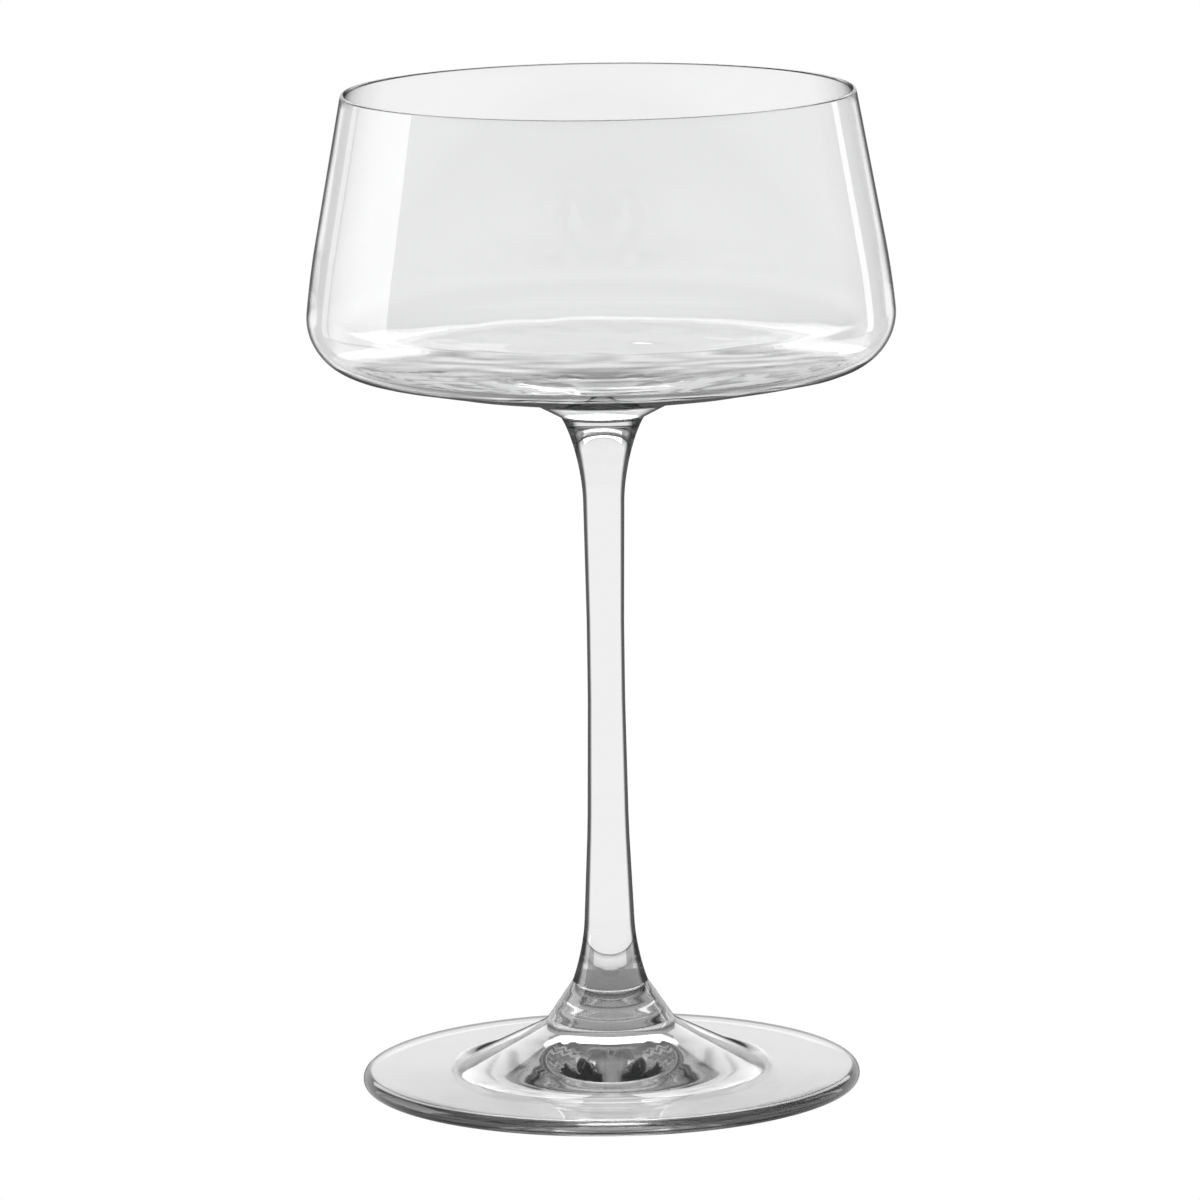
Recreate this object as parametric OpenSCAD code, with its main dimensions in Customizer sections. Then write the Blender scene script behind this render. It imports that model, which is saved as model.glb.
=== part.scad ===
// Stemmed martini coupe in clear glass: a bowl that widens from its rim down to a rounded heel,
// a slim drawn stem and a pressed foot. The three pieces are gathered separately and fused end
// to end, so each is its own solid here and meets its neighbour on one flat face.
// Every piece is a solid of revolution about Z, and the foot stands on z = 0.

/* [Overall] */
// Height from the table to the rim
height = 155; // [150:1:165]

/* [Bowl] */
// Outside diameter of the rim
rim_d = 78.9; // [76:0.1:82]
// Outside diameter where the wall turns steeper, above the heel
belly_d = 89.5; // [87:0.1:90]
// Outside diameter of the heel, before it is rounded
heel_d = 91.8; // [91:0.1:94]
// Depth from the rim to the belly
belly_drop = 28.6; // [24:0.2:32]
// Depth from the rim to the heel's corner
heel_drop = 41.2; // [40.8:0.2:43]
// Radius of the heel outside
heel_round = 8.4; // [6:0.1:9]
// Wall thickness at the rim
rim_wall = 0.8; // [0.6:0.05:1.2]
// Wall thickness at the heel
heel_wall = 1.6; // [1.3:0.05:2]
// Depth of the inside at its centre
inner_depth = 42.6; // [40:0.1:43]
// Depth from the rim to the seam between bowl and stem
seam_drop = 49.9; // [49:0.1:51]

/* [Stem] */
// Diameter at the slimmest place
stem_d = 5.6; // [5:0.1:6.4]
// Diameter of the head where it is fused to the bowl
head_d = 14.4; // [13:0.1:16]
// Diameter where the stem is fused to the foot
stem_base_d = 11.7; // [11:0.1:12.5]
// Height of the seam between stem and foot
foot_seam = 16; // [15:0.2:18]

/* [Foot] */
// Diameter of the foot
foot_d = 77.3; // [72:0.1:82]
// Thickness of the foot's edge
edge_h = 2.3; // [1.8:0.1:2.5]
// Diameter of the raised middle
mound_d = 47; // [44:0.5:52]
// Height of the top face where the raised middle begins
mound_base = 2.8; // [2.6:0.1:3.2]
// Diameter of the neck, where the raised middle turns steep
collar_d = 20.4; // [18:0.2:22]
// Height of the same place
collar_h = 9.5; // [9:0.1:11]
// Diameter of the hollow under the foot
hollow_d = 44; // [41:0.2:46]
// Height of the hollow at its centre
hollow_h = 3.6; // [2.6:0.1:4.6]
// Width of the flat ring that the foot rests on
rest_ring = 3; // [2:0.2:5]

/* [Hidden] */

$fn = 96;
// Straight steps in each rounded corner of an outline
arc_steps = 8;

glass_colour = [0.86, 0.88, 0.88, 0.35];

rim_r = rim_d / 2;
seam_z = height - seam_drop;
belly_z = height - belly_drop;
heel_z = height - heel_drop;
floor_z = height - inner_depth;

// A corner of an outline is [radius, height, rounding], and rounding 0 keeps it sharp.
function place(corner) = [corner[0], corner[1]];
function unit(v) = v / norm(v);

// The arc that rounds a corner, from its tangent point on one side to that on the other
function corner_arc(before, corner, after) =
    let (
        to_before = unit(place(before) - place(corner)),
        to_after = unit(place(after) - place(corner)),
        half = acos(to_before * to_after) / 2,
        radius = corner[2],
        centre = place(corner) + unit(to_before + to_after) * radius / sin(half),
        first = place(corner) + to_before * radius / tan(half) - centre,
        last = place(corner) + to_after * radius / tan(half) - centre,
        start = atan2(first.y, first.x),
        sweep = (atan2(last.y, last.x) - start + 540) % 360 - 180
    )
    [for (i = [0:arc_steps])
        let (a = start + sweep * i / arc_steps) centre + radius * [cos(a), sin(a)]];

function outline(corners) =
    [for (i = [0:len(corners) - 1])
        each corners[i][2] == 0
            ? [place(corners[i])]
            : corner_arc(corners[i - 1], corners[i], corners[i + 1])];

// A solid of revolution with the given half section
module turned(corners) {
    rotate_extrude() polygon(outline(corners));
}

// Bowl: fire-polished rim, thin wall, rounded heel, a floor that thickens to the middle, and
// a shallow funnel below it that ends on the flat seam with the stem.
module bowl() {
    lip_round = rim_wall * 0.48;
    belly_round = 108;
    color(glass_colour) turned([
        [0, floor_z, 0],
        [heel_d / 2 - heel_wall, floor_z + 1, heel_round - heel_wall],
        [belly_d / 2 - (rim_wall + heel_wall) / 2, belly_z, belly_round],
        [rim_r - rim_wall, height, lip_round],
        [rim_r, height, lip_round],
        [belly_d / 2, belly_z, belly_round],
        [heel_d / 2, heel_z, heel_round],
        [29, heel_z - 3.45, 47],
        [11.8, seam_z + 2.4, 9],
        [head_d / 2, seam_z, 0],
        [0, seam_z, 0]
    ]);
}

// Stem: a head drawn out into a funnel, a long waist and a flare down to the foot.
module stem() {
    color(glass_colour) turned([
        [0, seam_z, 0],
        [head_d / 2, seam_z, 0],
        [head_d / 2 - 0.75, seam_z - 0.4, 0.8],
        [stem_d / 2 + 0.5, seam_z - 5.8, 30],
        [stem_d / 2, height * 0.43, 400],
        [stem_d / 2 + 0.4, foot_seam + 24.5, 120],
        [stem_d / 2 + 1.3, foot_seam + 4.8, 30],
        [stem_base_d / 2, foot_seam, 0],
        [0, foot_seam, 0]
    ]);
}

// Foot: a steep collar under the stem, a raised middle with a shallow hollow below it, and a
// thin disc with a rounded edge that rests on a flat ring.
module foot() {
    foot_r = foot_d / 2;
    underside_round = 0.95;
    color(glass_colour) turned([
        [0, foot_seam, 0],
        [stem_base_d / 2, foot_seam, 0],
        [collar_d / 2, collar_h, 4],
        [mound_d / 2, mound_base, 9],
        [foot_r, edge_h, 1.25],
        [foot_r, 0, underside_round],
        [foot_r - underside_round - rest_ring, 0, 0],
        [hollow_d / 2, 0.3, 12],
        [5, hollow_h, 12],
        [0, hollow_h, 0]
    ]);
}

bowl();
stem();
foot();
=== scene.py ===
import math

import bmesh
import bpy
from mathutils import Euler, Matrix, Vector, noise


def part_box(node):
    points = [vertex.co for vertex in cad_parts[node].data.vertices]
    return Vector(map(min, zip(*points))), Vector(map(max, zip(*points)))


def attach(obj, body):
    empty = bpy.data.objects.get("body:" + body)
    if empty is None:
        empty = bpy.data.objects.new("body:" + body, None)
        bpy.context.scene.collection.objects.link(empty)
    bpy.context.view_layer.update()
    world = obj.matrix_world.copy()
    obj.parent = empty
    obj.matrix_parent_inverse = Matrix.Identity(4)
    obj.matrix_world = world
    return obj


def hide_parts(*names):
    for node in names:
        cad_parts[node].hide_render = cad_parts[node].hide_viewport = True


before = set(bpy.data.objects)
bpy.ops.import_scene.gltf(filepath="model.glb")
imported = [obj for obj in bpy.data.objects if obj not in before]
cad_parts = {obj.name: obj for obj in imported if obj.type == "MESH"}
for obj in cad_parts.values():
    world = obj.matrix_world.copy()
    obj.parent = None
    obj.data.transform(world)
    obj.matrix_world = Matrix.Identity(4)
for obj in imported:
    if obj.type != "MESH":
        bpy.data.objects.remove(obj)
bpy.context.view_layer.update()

scene = bpy.context.scene
mm = 0.001
spinSteps = 256  # how many flats go once round each piece

# heights of the rim and of the two fused seams, and the foot's radius, in mm like every outline below
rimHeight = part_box("bowl")[1].z / mm
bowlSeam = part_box("bowl")[0].z / mm
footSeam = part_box("stem")[0].z / mm
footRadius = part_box("foot")[1].x / mm

# a long lens a little above the rim; lengths in metres, angles in degrees
cameraSet = {
    "distance": 1.2922,
    "height": 0.3005,
    "lookDown": 9.857,
    "aimLeft": 0.035,
    "roll": -0.8,
    "lens": 254.8,
}


def makeCamera():
    data = bpy.data.cameras.new("camera")
    data.lens = cameraSet["lens"]
    data.sensor_width = 36
    data.clip_start = 0.05
    data.clip_end = 50
    cam = bpy.data.objects.new("camera", data)
    scene.collection.objects.link(cam)
    aim = Euler((math.radians(90 - cameraSet["lookDown"]), 0, math.radians(cameraSet["aimLeft"])))
    turn = Matrix.Rotation(math.radians(cameraSet["roll"]), 3, "Z")
    cam.rotation_euler = (aim.to_matrix() @ turn).to_euler()
    cam.location = (0, -cameraSet["distance"], cameraSet["height"])
    scene.camera = cam


makeCamera()
print("camera placed")


class Tree:
    # one material's or world's nodes; add makes a node and hands back one of its outputs
    def __init__(self, nodeTree):
        self.nodes = nodeTree.nodes
        self.links = nodeTree.links
        self.nodes.clear()

    def add(self, kind, settings=None, values=None, out=0):
        node = self.nodes.new(kind)
        for key, value in (settings or {}).items():
            if key == "stops":
                while len(node.color_ramp.elements) < len(value):
                    node.color_ramp.elements.new(1)
                for stop, (place, grey) in zip(node.color_ramp.elements, value):
                    stop.position = place
                    stop.color = (grey, grey, grey, 1)
            else:
                setattr(node, key, value)
        for key, value in (values or {}).items():
            if isinstance(value, bpy.types.NodeSocket):
                self.links.new(value, node.inputs[key])
            else:
                node.inputs[key].default_value = value
        return node.outputs[out] if node.outputs else None


def newTree(owner):
    owner.use_nodes = True
    return Tree(owner.node_tree)


# the glass: its gloss, the waver left by hand work, and the colour of the painted shade at its edges
glassLook = {
    "ior": 1.5,
    "haze": (0.0, 0.012),
    "hazeSize": 60,
    "waver": 0.03,
    "waverSize": 45,
    "edgeColour": (0.02, 0.021, 0.022, 1),
}


def clearGlass(name, tint, edge, haze=glassLook["haze"]):
    # tint: how much light gets through at each face; the lower tints given to the foot and to its band
    # and flank are painted shade.
    # the edge ramp is painted shade: how much of a near-black shader is mixed in, from face on, 0, to
    # edge on, 1. haze: the least and the most roughness
    mat = bpy.data.materials.new(name)
    t = newTree(mat)
    place = t.add("ShaderNodeTexCoord", None, None, 3)
    smear = t.add("ShaderNodeTexNoise", None,
                  {"Vector": place, "Scale": glassLook["hazeSize"], "Detail": 3.0})
    rough = t.add("ShaderNodeMapRange", None, {0: smear, 1: 0.5, 2: 0.8, 3: haze[0], 4: haze[1]})
    waver = t.add("ShaderNodeTexNoise", None,
                  {"Vector": place, "Scale": glassLook["waverSize"], "Detail": 1.0})
    bump = t.add("ShaderNodeBump", None,
                 {"Strength": glassLook["waver"], "Distance": 0.002, "Height": waver})
    glass = t.add("ShaderNodeBsdfPrincipled", None, {
        "Base Color": (tint, tint * 1.002, tint * 1.002, 1),
        "Roughness": rough,
        "IOR": glassLook["ior"],
        "Transmission Weight": 1.0,
        "Normal": bump,
    })
    # painted shade: a near-black shader, mixed in more the more edge on a face is seen, paints the
    # glass's dark outlines
    paintedEdgeShader = t.add("ShaderNodeBsdfPrincipled", None, {
        "Base Color": glassLook["edgeColour"],
        "Roughness": 1.0,
        "Specular IOR Level": 0.0,
    })
    facing = t.add("ShaderNodeLayerWeight", None, {"Blend": 0.5}, 1)
    paintedEdgeShadeMask = t.add("ShaderNodeValToRGB", {"stops": edge}, {0: facing})
    mix = t.add("ShaderNodeMixShader", None, {0: paintedEdgeShadeMask, 1: glass, 2: paintedEdgeShader})
    t.add("ShaderNodeOutputMaterial", None, {"Surface": mix})
    return mat


def fusedSeam():
    # inside a hot-fused seam the glass runs on, so the face there shows nothing
    mat = bpy.data.materials.new("fusedSeam")
    t = newTree(mat)
    shader = t.add("ShaderNodeBsdfTransparent", None, {"Color": (1, 1, 1, 1)})
    t.add("ShaderNodeOutputMaterial", None, {"Surface": shader})
    return mat


seamMat = fusedSeam()


def roundReach(before, corner, after):
    # how far along both edges a corner's rounding reaches
    a = Vector(before[:2]) - Vector(corner[:2])
    b = Vector(after[:2]) - Vector(corner[:2])
    return corner[2] / math.tan(a.angle(b) / 2)


def halfSection(bm, corners):
    # the outline as one face, with each corner rounded, then only its edges off the axis are kept
    verts = [bm.verts.new((c[0] * mm, 0, c[1] * mm)) for c in corners]
    bm.faces.new(verts)
    for i, corner in enumerate(corners):
        if corner[2]:
            reach = roundReach(corners[i - 1], corner, corners[(i + 1) % len(corners)])
            steps = corner[3] if len(corner) > 3 else 12
            bmesh.ops.bevel(bm, geom=[verts[i]], offset=reach * mm, offset_type="OFFSET", segments=steps,
                            profile=0.5, affect="VERTICES", clamp_overlap=False, material=-1)
    bmesh.ops.delete(bm, geom=bm.faces[:], context="FACES_ONLY")
    onAxis = [e for e in bm.edges if all(v.co.x < 1e-7 for v in e.verts)]
    bmesh.ops.delete(bm, geom=onAxis, context="EDGES")


def turnPiece(name, node, corners, seams, step, mats, choose=None, shape=None):
    # corner: radius, height, rounding and, if not 12, the steps in the rounding
    bm = bmesh.new()
    halfSection(bm, corners)
    for e in list(bm.edges):
        cuts = int(e.calc_length() / (step * mm))
        if cuts and max(v.co.z for v in e.verts) > 0:
            bmesh.ops.subdivide_edges(bm, edges=[e], cuts=cuts)
    bmesh.ops.spin(bm, geom=bm.verts[:] + bm.edges[:], cent=(0, 0, 0), axis=(0, 0, 1),
                   angle=2 * math.pi, steps=spinSteps, use_merge=True)
    bmesh.ops.remove_doubles(bm, verts=bm.verts[:], dist=1e-6)
    bmesh.ops.recalc_face_normals(bm, faces=bm.faces[:])
    if shape:
        shape(bm)
    for f in bm.faces:
        atSeam = any(all(abs(v.co.z - s * mm) < 1e-7 for v in f.verts) for s in seams)
        f.smooth = not atSeam
        if atSeam:
            f.material_index = len(mats)
        elif choose:
            f.material_index = choose(f.calc_center_median() / mm, f.normal)
    for e in bm.edges:
        zones = {f.material_index for f in e.link_faces}
        e.smooth = len(zones) == 1 or len(mats) not in zones
    mesh = bpy.data.meshes.new(name)
    bm.to_mesh(mesh)
    bm.free()
    piece = bpy.data.objects.new(name, mesh)
    scene.collection.objects.link(piece)
    for mat in mats + [seamMat]:
        mesh.materials.append(mat)
    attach(piece, "root")
    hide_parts(node)
    print(name, len(mesh.polygons), "faces")
    return piece


# the bowl: a thin wall that widens to a rounded heel, and a floor that thickens to the middle
bowlSet = {
    "rimRadius": 39.45,
    "rimWall": 0.8,
    "lipRound": 0.384,
    "bellyRadius": 44.75,
    "bellyDrop": 28.6,
    "bellyRound": 108,
    "heelRadius": 45.9,
    "heelDrop": 41.2,
    "heelRound": 8.4,
    "heelWall": 1.6,
    "underRadius": 29,
    "underDrop": 3.45,
    "underRound": 47,
    "insideDepth": 42.6,
    "throatRadius": 11.8,
    "headRadius": 7.2,
    "step": 1.5,
    "tint": 0.9,
    # painted shade: the edge ramps below mix a near-black shader into each zone by viewing angle, one
    # ramp per zone
    "edge": [(0.82, 0), (0.89, 0.82)],
    "lipHeight": 0.5,
    "lipHaze": (0.14, 0.22),
    "lipPaintedEdgeShade": [(0.72, 0), (0.86, 0.9)],
    "lipOutsidePaintedEdgeShade": [(0.95, 0), (1.0, 0.2)],
    "insidePaintedEdgeShade": [(0.48, 0), (0.64, 0.1), (0.76, 0.22), (0.9, 0.5)],
    "underPaintedEdgeShade": [(0.76, 0), (0.86, 0.9)],
    "floorPaintedEdgeShade": [(0.85, 0), (0.93, 0.9)],
    "waveHeight": 0.05,
    "waveLength": 6,
}


def wavyFloor(bm):
    # the bowl is pressed out on the stem while soft, which leaves its floor a little uneven
    s = bowlSet
    top = rimHeight - s["insideDepth"] + 1.2
    for v in bm.verts:
        spot = v.co / mm
        reach = math.hypot(spot.x, spot.y)
        if bowlSeam + 3 < spot.z < top and reach < s["heelRadius"] - 4:
            ease = min(1, reach / 6) * min(1, (s["heelRadius"] - 4 - reach) / 4)
            lift = noise.noise(spot / s["waveLength"] + Vector((7, 3, 0)))
            v.co.z += s["waveHeight"] * mm * ease * lift * 2


def bowlZone(spot, normal):
    # the bowl's faces: outside, inner lip, inside wall, floor, outer lip and underside, from 0 to 5;
    # each has its own ramp of painted edge shade
    s = bowlSet
    if spot.z > rimHeight - s["lipHeight"]:
        inLip = math.hypot(spot.x, spot.y) < s["rimRadius"] - s["rimWall"] / 2
        return 1 if inLip else 4
    outward = normal.x * spot.x + normal.y * spot.y
    if outward >= 0 and normal.z < -0.3 and spot.z < rimHeight - s["heelDrop"] + 1:
        return 5
    if bowlSeam + 5 < spot.z < rimHeight - s["insideDepth"] + 2.5 and normal.z > 0.3:
        return 3
    return 2 if outward < 0 and spot.z > bowlSeam + 5 else 0


def makeBowl():
    s = bowlSet
    floorZ = rimHeight - s["insideDepth"]
    heelZ = rimHeight - s["heelDrop"]
    bellyZ = rimHeight - s["bellyDrop"]
    corners = [
        (0, floorZ, 0),
        (s["heelRadius"] - s["heelWall"], floorZ + 1, s["heelRound"] - s["heelWall"], 24),
        (s["bellyRadius"] - (s["rimWall"] + s["heelWall"]) / 2, bellyZ, s["bellyRound"]),
        (s["rimRadius"] - s["rimWall"], rimHeight, s["lipRound"]),
        (s["rimRadius"], rimHeight, s["lipRound"]),
        (s["bellyRadius"], bellyZ, s["bellyRound"]),
        (s["heelRadius"], heelZ, s["heelRound"], 24),
        (s["underRadius"], heelZ - s["underDrop"], s["underRound"]),
        (s["throatRadius"], bowlSeam + 2.4, 9),
        (s["headRadius"], bowlSeam, 0),
        (0, bowlSeam, 0),
    ]
    mats = [
        clearGlass("bowlOutside", s["tint"], s["edge"]),
        clearGlass("bowlLip", s["tint"], s["lipPaintedEdgeShade"], s["lipHaze"]),
        clearGlass("bowlInside", s["tint"], s["insidePaintedEdgeShade"]),
        clearGlass("bowlFloor", s["tint"], s["floorPaintedEdgeShade"]),
        clearGlass("bowlLipOutside", s["tint"], s["lipOutsidePaintedEdgeShade"], s["lipHaze"]),
        clearGlass("bowlUnderside", s["tint"], s["underPaintedEdgeShade"]),
    ]
    return turnPiece("bowlGlass", "bowl", corners, [bowlSeam], s["step"], mats, bowlZone, wavyFloor)


# the stem: a head drawn out into a funnel, a long waist and a flare down to the foot
stemSet = {
    "waistRadius": 2.8,
    "waistHeight": 66.65,
    "baseRadius": 5.85,
    "step": 2,
    "tint": 0.86,
    # painted shade: the edge ramp mixes a near-black shader into the stem's outline by viewing angle
    "edge": [(0.38, 0), (0.5, 0.9)],
}


def makeStem():
    s = stemSet
    corners = [
        (0, bowlSeam, 0),
        (bowlSet["headRadius"], bowlSeam, 0),
        (bowlSet["headRadius"] - 0.75, bowlSeam - 0.4, 0.8),
        (s["waistRadius"] + 0.5, bowlSeam - 5.8, 30, 24),
        (s["waistRadius"], s["waistHeight"], 400, 24),
        (s["waistRadius"] + 0.4, footSeam + 24.5, 120, 24),
        (s["waistRadius"] + 1.3, footSeam + 4.8, 30, 24),
        (s["baseRadius"], footSeam, 0),
        (0, footSeam, 0),
    ]
    mats = [clearGlass("stemClear", s["tint"], s["edge"])]
    return turnPiece("stemGlass", "stem", corners, [bowlSeam, footSeam], s["step"], mats)


# the foot: a collar, a raised middle with a hollow under it, and a thin disc on a flat ring
footSet = {
    "collarRadius": 10.2,
    "collarHeight": 9.5,
    "moundRadius": 23.5,
    "moundHeight": 2.8,
    "edgeHeight": 2.3,
    "edgeRound": 1.25,
    "edgeUnder": 0.95,
    "restRing": 3.95,
    "hollowRadius": 22,
    "hollowHeight": 3.6,
    "crownRadius": 5,
    "step": 0.5,
    # painted shade: the foot's tint is set below the bowl's, the band's and flank's tints lower still,
    # and the edge ramp mixes in a near-black shader edge on
    "tint": 0.7,
    "edge": [(0.83, 0), (0.93, 0.9)],
    "haze": (0.04, 0.09),
    "flankPaintedShadeTint": 0.4,
    "bandPaintedShadeTint": 0.15,
    "ringHeight": 0.02,
    "ringSpacing": 1.7,
}


def toolRings(bm):
    # the paddle that shapes the collar while it turns leaves shallow rings round it
    s = footSet
    bm.normal_update()
    for v in bm.verts:
        spot = v.co / mm
        reach = math.hypot(spot.x, spot.y)
        if s["collarHeight"] - 2 < spot.z < footSeam - 0.3 and reach > 3:
            ease = min(1, (footSeam - 0.3 - spot.z) / 2) * min(1, (spot.z - s["collarHeight"] + 2) / 2)
            wave = math.sin(2 * math.pi * spot.z / s["ringSpacing"])
            v.co += v.normal * wave * ease * s["ringHeight"] * mm


def footZone(spot, normal):
    # the foot's faces: 1 is the rounded band at its edge, 2 the raised middle's flank, 0 the rest; 1 and
    # 2 take darker tints, painted shade
    s = footSet
    reach = math.hypot(spot.x, spot.y)
    if reach > footRadius - s["edgeRound"]:
        return 1
    onFlank = normal.z > 0.3 and reach > s["collarRadius"] and spot.z > s["moundHeight"] + 0.05
    return 2 if onFlank else 0


def makeFoot():
    s = footSet
    corners = [
        (0, footSeam, 0),
        (stemSet["baseRadius"], footSeam, 0),
        (s["collarRadius"], s["collarHeight"], 4, 16),
        (s["moundRadius"], s["moundHeight"], 9, 16),
        (footRadius, s["edgeHeight"], s["edgeRound"]),
        (footRadius, 0, s["edgeUnder"]),
        (footRadius - s["restRing"], 0, 0),
        (s["hollowRadius"], 0.3, 12, 16),
        (s["crownRadius"], s["hollowHeight"], 12, 16),
        (0, s["hollowHeight"], 0),
    ]
    mats = [
        clearGlass("footClear", s["tint"], s["edge"], s["haze"]),
        clearGlass("footBand", s["bandPaintedShadeTint"], s["edge"], s["haze"]),
        clearGlass("footFlank", s["flankPaintedShadeTint"], s["edge"], s["haze"]),
    ]
    return turnPiece("footGlass", "foot", corners, [footSeam], s["step"], mats, footZone, toolRings)


makeBowl()
makeStem()
makeFoot()

# the stage: a pale floor that glows at a low angle and darkens straight down, as backlit sheet does
stageSet = {
    "floorSize": 16,
    "floorLow": 0.6,
    "floorSteep": 0.3,
    "floorDark": 0.3,
    "sky": [(0.0, 1.0), (0.22, 1.0), (0.34, 0.22), (0.70, 0.22), (0.9, 0.6)],
}


def meshObject(name, bm, mat):
    mesh = bpy.data.meshes.new(name)
    bm.to_mesh(mesh)
    bm.free()
    obj = bpy.data.objects.new(name, mesh)
    scene.collection.objects.link(obj)
    mesh.materials.append(mat)
    return obj


def glow(t, strength):
    return t.add("ShaderNodeEmission", None, {"Color": (1, 1, 1, 1), "Strength": strength})


def makeFloor():
    bm = bmesh.new()
    bmesh.ops.create_grid(bm, x_segments=1, y_segments=1, size=stageSet["floorSize"] / 2)
    bmesh.ops.translate(bm, verts=bm.verts[:], vec=(0, 0, -0.0002))
    mat = bpy.data.materials.new("paleFloor")
    t = newTree(mat)
    facing = t.add("ShaderNodeLayerWeight", None, {"Blend": 0.5}, 1)
    low = t.add("ShaderNodeMapRange", {"interpolation_type": "SMOOTHSTEP"}, {
        0: facing,
        1: stageSet["floorSteep"],
        2: stageSet["floorLow"],
        3: stageSet["floorDark"],
        4: 1.0,
    })
    seen = t.add("ShaderNodeLightPath")
    shader = t.add("ShaderNodeMixShader", None, {0: seen, 1: glow(t, low), 2: glow(t, 1.0)})
    t.add("ShaderNodeOutputMaterial", None, {"Surface": shader})
    meshObject("floor", bm, mat)


makeFloor()


# light cards for the gloss, out of the camera's sight: the bottom corners in plan, the height
# of the bottom and top edges, and the brightness at the start and the end; lengths in metres
cards = {
    "leftSoftbox": {
        "start": (-0.631, -0.009),
        "end": (-0.48, 0.393),
        "low": 0,
        "high": 0.5,
        "glow": (4.2, 1.5),
    },
    "leftRearStrip": {
        "start": (-0.466, 0.407),
        "end": (-0.422, 0.448),
        "low": 0,
        "high": 0.5,
        "glow": (1.8, 1.8),
    },
    "rightRearStrip": {
        "start": (0.521, 0.344),
        "end": (0.483, 0.391),
        "low": 0,
        "high": 0.5,
        "glow": (2.8, 2.8),
    },
    "rearSoftbox": {
        "start": (-0.75, 1.5),
        "end": (0.75, 1.5),
        "low": 0.5,
        "high": 1.4,
        "glow": (3, 3),
        "through": True,
    },
}


def makeCard(name, card):
    bm = bmesh.new()
    ends = [bm.verts.new((*card[end], card["low"])) for end in ("start", "end")]
    bm.edges.new(ends)
    up = bmesh.ops.extrude_edge_only(bm, edges=bm.edges[:])
    raised = [v for v in up["geom"] if isinstance(v, bmesh.types.BMVert)]
    bmesh.ops.translate(bm, verts=raised, vec=(0, 0, card["high"] - card["low"]))
    mat = bpy.data.materials.new(name)
    t = newTree(mat)
    place = t.add("ShaderNodeTexCoord", None, None, 3)
    across = t.add("ShaderNodeSeparateXYZ", None, {0: place}, 1)
    bright = t.add("ShaderNodeMapRange", None, {
        0: across,
        1: card["start"][1],
        2: card["end"][1],
        3: card["glow"][0],
        4: card["glow"][1],
    })
    t.add("ShaderNodeOutputMaterial", None, {"Surface": glow(t, bright)})
    obj = meshObject(name, bm, mat)
    obj.visible_camera = False
    obj.visible_transmission = card.get("through", False)


for name, card in cards.items():
    makeCard(name, card)


def makeWorld():
    world = bpy.data.worlds.new("studio")
    scene.world = world
    t = newTree(world)
    place = t.add("ShaderNodeTexCoord")
    up = t.add("ShaderNodeSeparateXYZ", None, {0: place}, 2)
    level = t.add("ShaderNodeValToRGB", {"stops": stageSet["sky"]}, {0: up})
    lit = t.add("ShaderNodeBackground", None, {"Color": level, "Strength": 1.0})
    plain = t.add("ShaderNodeBackground", None, {"Color": (1, 1, 1, 1), "Strength": 1.0})
    seen = t.add("ShaderNodeLightPath")
    mix = t.add("ShaderNodeMixShader", None, {0: seen, 1: lit, 2: plain})
    t.add("ShaderNodeOutputWorld", None, {"Surface": mix})


makeWorld()
print("stage set")

scene.view_settings.view_transform = "Standard"
scene.cycles.max_bounces = 32
scene.cycles.transmission_bounces = 32
scene.cycles.glossy_bounces = 16
scene.cycles.transparent_max_bounces = 32
